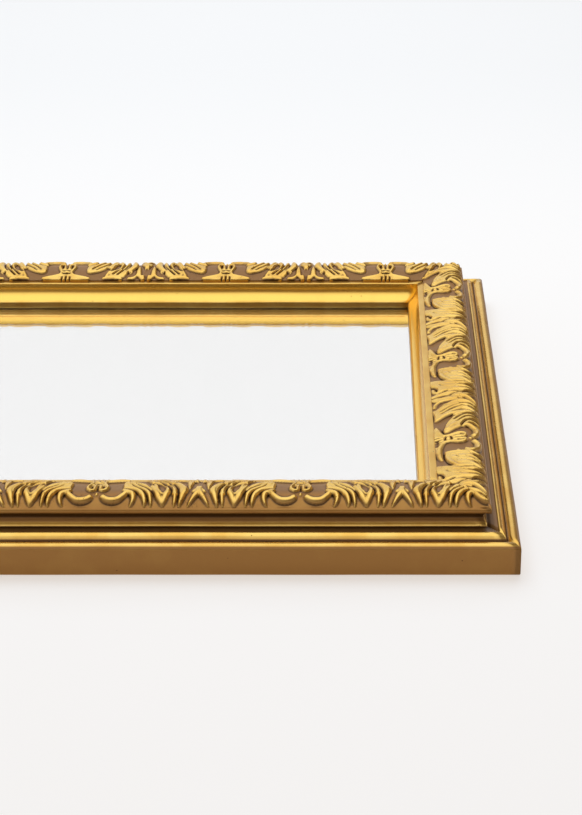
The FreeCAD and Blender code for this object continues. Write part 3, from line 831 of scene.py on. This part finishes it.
def makeRunTree():
    # repeats a tile along x and paints it
    tree = bpy.data.node_groups.new("acanthusRun", "GeometryNodeTree")
    face = tree.interface
    face.new_socket("Tile", in_out="INPUT", socket_type="NodeSocketGeometry")
    face.new_socket("Run", in_out="OUTPUT", socket_type="NodeSocketGeometry")
    for label, kind in (("Copies", "NodeSocketInt"), ("Repeat", "NodeSocketFloat"),
                        ("First", "NodeSocketFloat"), ("Gilding", "NodeSocketMaterial")):
        face.new_socket(label, in_out="INPUT", socket_type=kind)
    given = addNode(tree, "NodeGroupInput").outputs
    step = addNode(tree, "ShaderNodeCombineXYZ", {"X": given["Repeat"]})
    start = addNode(tree, "ShaderNodeCombineXYZ", {"X": given["First"]})
    line = addNode(tree, "GeometryNodeMeshLine", {
        "Count": given["Copies"], "Start Location": start, "Offset": step})
    copies = addNode(tree, "GeometryNodeInstanceOnPoints", {"Points": line, "Instance": given["Tile"]})
    real = addNode(tree, "GeometryNodeRealizeInstances", {"Geometry": copies})
    joined = addNode(tree, "GeometryNodeMergeByDistance", {
        "Geometry": real, "Distance": acanthus["weldDistance"]})
    painted = addNode(tree, "GeometryNodeSetMaterial", {"Geometry": joined, "Material": given["Gilding"]})
    addNode(tree, "NodeGroupOutput", {"Run": painted})
    return tree


def runTile(tile, tree, side):
    # the tile repeated along one member, as a plain mesh
    half, repeat = side["length"] / 2, acanthus["repeat"]
    first = side["flowerAt"] - repeat * math.ceil((side["flowerAt"] + half) / repeat)
    copies = math.ceil((half - first) / repeat) + 1
    holder = newObject("acanthusHolder", tile)
    modifier = holder.modifiers.new("run", "NODES")
    modifier.node_group = tree
    given = {"Copies": copies, "Repeat": repeat, "First": first, "Gilding": materials["giltOrnament"]}
    for item in tree.interface.items_tree:
        if item.name in given:
            modifier[item.identifier] = given[item.name]
    evaluated = holder.evaluated_get(bpy.context.evaluated_depsgraph_get())
    mesh = bpy.data.meshes.new_from_object(evaluated)
    bpy.data.objects.remove(holder)
    return mesh


def cutMitres(mesh, side):
    # cut square through the corner at 45 degrees at both ends, each cut closed
    half = side["length"] / 2 - acanthus["mitreGap"]
    shape = bmesh.new()
    shape.from_mesh(mesh)
    for sign in (-1, 1):
        cut = bmesh.ops.bisect_plane(
            shape, geom=shape.verts[:] + shape.edges[:] + shape.faces[:],
            plane_co=(sign * half, 0, 0), plane_no=(sign, 1, 0), clear_outer=True)
        edges = [item for item in cut["geom_cut"] if isinstance(item, bmesh.types.BMEdge)]
        bmesh.ops.contextual_create(shape, geom=edges)
    shape.to_mesh(mesh)
    shape.free()


tiles = {kind: makeTile(kind) for kind in ("rail", "stile")}
runTree = makeRunTree()
for name, side in sides.items():
    run = runTile(tiles[side["kind"]], runTree, side)
    cutMitres(run, side)
    placeOnSide(run, side)
    run.name = name + "_acanthus"
    newPiece(name + "_acanthus", run, name + "_ornament")
    print("ornament made:", name, len(run.polygons), "faces")


# The silvering lies a hair behind the glass, so that the two faces don't fall in one plane

silvering = {"gap": 0.02, "thickness": 0.1}


def makeSilvering():
    (x0, y0, _), (x1, y1, coatTop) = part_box("silver_coat")
    top = coatTop - silvering["gap"] * mm
    bottom = top - silvering["thickness"] * mm
    corners = [(x, y, z) for z in (bottom, top) for x, y in ((x0, y0), (x1, y0), (x1, y1), (x0, y1))]
    walls = [(i, (i + 1) % 4, (i + 1) % 4 + 4, i + 4) for i in range(4)]
    mesh = bpy.data.meshes.new("silvering")
    mesh.from_pydata(corners, [], [(3, 2, 1, 0), (4, 5, 6, 7)] + walls)
    mesh.materials.append(materials["silver"])
    newPiece("silvering", mesh, "silver_coat")


makeSilvering()
print("silvering made")


# The pieces whose shape is right as it is take their finish here, zinc plated steel if not named

finishes = {
    "mirror_glass": "glass",
    "cushion_card": "card",
    "backing_board": "hardboard",
    "corner_v_nails": "brightSteel",
}
for name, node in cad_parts.items():
    node.data.materials.clear()
    node.data.materials.append(materials[finishes.get(name, "zincSteel")])
print("finishes given:", len(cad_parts))


# Floor, light and camera: the floor and the lamp in metres, the camera's place in mm. Four numbers
# say from where to where something fades, and what it gives at these two ends.

studio = {
    "floorSize": 8.0,
    "floorDrop": 0.2,        # mm below the frame, so that the two don't fall in one plane
    "floorColour": "#F5F5F5",
    "floorGlow": "#D3C9C0",  # white that is there whatever falls on it, so that shadows are warm
    "floorSeen": "#96A3AE",  # and the share that the lamp and the world add
    "farGlow": (0.2, 0.9, 1.0, 0.86),   # the glow is less at the far end, where the lamp stands
    "lampSize": 1.7,
    "lampPlace": (0.0, 0.95, 1.6),
    "lampPower": 29.0,
    "worldStrength": 0.4,    # as light
    "seenStrength": 1.0,     # as it is seen and mirrored
    "darkColour": "#7C6440",            # the brown low part of the room
    "darkSide": (0.55, -0.83, 0.1),
    "nearDark": (0.15, 0.8, 0.0, 1.0),
    "rightDark": (0.15, 0.45, 0.0, 0.95),
    "onlyLow": (0.46, 0.6, 1.0, 0.0),
    "ceiling": (0.55, 0.9, 0.0, 0.35),  # how much brighter than the rest it is
    "lens": 84.0,
    "pitchDown": 26.17,
    "fromRightEdge": 89.8,
    "inFront": 928.7,
    "aboveFloor": 563.0,
    "shift": -0.0879,
}


def seenRays(tree):
    # 1 for rays that show something: camera, mirrored and passed through glass
    path = addNode(tree, "ShaderNodeLightPath").outputs
    seen = addNode(tree, "ShaderNodeMath", {
        0: path["Is Camera Ray"], 1: path["Is Glossy Ray"]}, operation="MAXIMUM")
    return addNode(tree, "ShaderNodeMath", {0: seen, 1: path["Is Transmission Ray"]}, operation="MAXIMUM")


def whitePaper(tree):
    # matt white paper, part of whose white glows where it is seen, so that its shadows stay pale
    seen = seenRays(tree)
    paper = addNode(tree, "ShaderNodeMix", {
        0: seen, 6: srgb(studio["floorColour"]), 7: srgb(studio["floorSeen"])}, data_type="RGBA")
    place = addNode(tree, "ShaderNodeTexCoord").outputs["Object"]
    depth = addNode(tree, "ShaderNodeSeparateXYZ", {"Vector": place}).outputs["Y"]
    start, end, nearGlow, farGlow = studio["farGlow"]
    fading = addNode(tree, "ShaderNodeMapRange", {
        "Value": depth, "From Min": start, "From Max": end, "To Min": nearGlow, "To Max": farGlow},
        interpolation_type="SMOOTHSTEP")
    glow = addNode(tree, "ShaderNodeMath", {0: seen, 1: fading}, operation="MULTIPLY")
    return {"Base Color": paper.outputs[2], "Roughness": 0.9, "Specular IOR Level": 0.0,
            "Emission Color": srgb(studio["floorGlow"]), "Emission Strength": glow}


def makeFloor():
    half = studio["floorSize"] / 2
    mesh = bpy.data.meshes.new("floor")
    corners = [(-half, -half, 0), (half, -half, 0), (half, half, 0), (-half, half, 0)]
    mesh.from_pydata(corners, [], [(0, 1, 2, 3)])
    mesh.materials.append(newMaterial("whitePaper", whitePaper))
    floor = newObject("floor", mesh)
    floor.location.z = -studio["floorDrop"] * mm


def makeWorld():
    # plain white to the camera; in reflections it is brighter overhead, and brown low down on the
    # right and on the side that the camera stands on; as light it is the same, and dimmer
    world = bpy.data.worlds.new("studio")
    bpy.context.scene.world = world
    world.use_nodes = True
    tree = world.node_tree
    tree.nodes.clear()
    direction = addNode(tree, "ShaderNodeTexCoord").outputs["Generated"]
    axes = addNode(tree, "ShaderNodeSeparateXYZ", {"Vector": direction}).outputs
    towards = addNode(tree, "ShaderNodeVectorMath", {
        0: direction, 1: studio["darkSide"]}, operation="DOT_PRODUCT").outputs["Value"]
    near, right, low, overhead = [
        addNode(tree, "ShaderNodeMapRange", {
            "Value": source, "From Min": start, "From Max": end, "To Min": first, "To Max": last},
            interpolation_type="SMOOTHSTEP")
        for source, (start, end, first, last) in (
            (towards, studio["nearDark"]), (axes["X"], studio["rightDark"]),
            (axes["Z"], studio["onlyLow"]), (axes["Z"], studio["ceiling"]))]
    dark = addNode(tree, "ShaderNodeMath", {0: near, 1: right}, operation="MAXIMUM")
    dark = addNode(tree, "ShaderNodeMath", {0: dark, 1: low}, operation="MULTIPLY")
    camera = addNode(tree, "ShaderNodeLightPath").outputs["Is Camera Ray"]
    unseen = addNode(tree, "ShaderNodeMath", {0: 1.0, 1: camera}, operation="SUBTRACT")
    brown = addNode(tree, "ShaderNodeMath", {0: unseen, 1: dark}, operation="MULTIPLY")
    colour = addNode(tree, "ShaderNodeMix", {
        0: brown, 6: srgb("#FFFFFF"), 7: srgb(studio["darkColour"])}, data_type="RGBA")
    strength = addNode(tree, "ShaderNodeMapRange", {
        "Value": seenRays(tree), "To Min": studio["worldStrength"], "To Max": studio["seenStrength"]})
    extra = addNode(tree, "ShaderNodeMath", {0: unseen, 1: overhead}, operation="MULTIPLY")
    brighter = addNode(tree, "ShaderNodeMath", {0: 1.0, 1: extra}, operation="ADD")
    level = addNode(tree, "ShaderNodeMath", {0: strength, 1: brighter}, operation="MULTIPLY")
    sky = addNode(tree, "ShaderNodeBackground", {"Color": colour.outputs[2], "Strength": level})
    addNode(tree, "ShaderNodeOutputWorld", {"Surface": sky})


def makeLamp():
    # a large soft lamp over the back, which lights the mirror and isn't itself mirrored in it
    lamp = bpy.data.lights.new("overhead", "AREA")
    lamp.shape, lamp.size, lamp.energy = "SQUARE", studio["lampSize"], studio["lampPower"]
    holder = newObject("overhead", lamp)
    holder.location = studio["lampPlace"]
    holder.visible_glossy = holder.visible_transmission = False
    aim = Vector((0, 0, 0)) - Vector(studio["lampPlace"])
    holder.rotation_euler = aim.to_track_quat("-Z", "Y").to_euler()


def makeCamera():
    camera = bpy.data.cameras.new("camera")
    camera.lens, camera.sensor_width, camera.shift_x = studio["lens"], 36.0, studio["shift"]
    holder = newObject("camera", camera)
    holder.location = (
        (outerLength / 2 - studio["fromRightEdge"]) * mm,
        -(outerWidth / 2 + studio["inFront"]) * mm,
        studio["aboveFloor"] * mm)
    holder.rotation_euler = (math.radians(90 - studio["pitchDown"]), 0, 0)
    bpy.context.scene.camera = holder


makeFloor()
makeWorld()
makeLamp()
makeCamera()
bpy.context.scene.view_settings.view_transform = "Standard"
print("studio made")
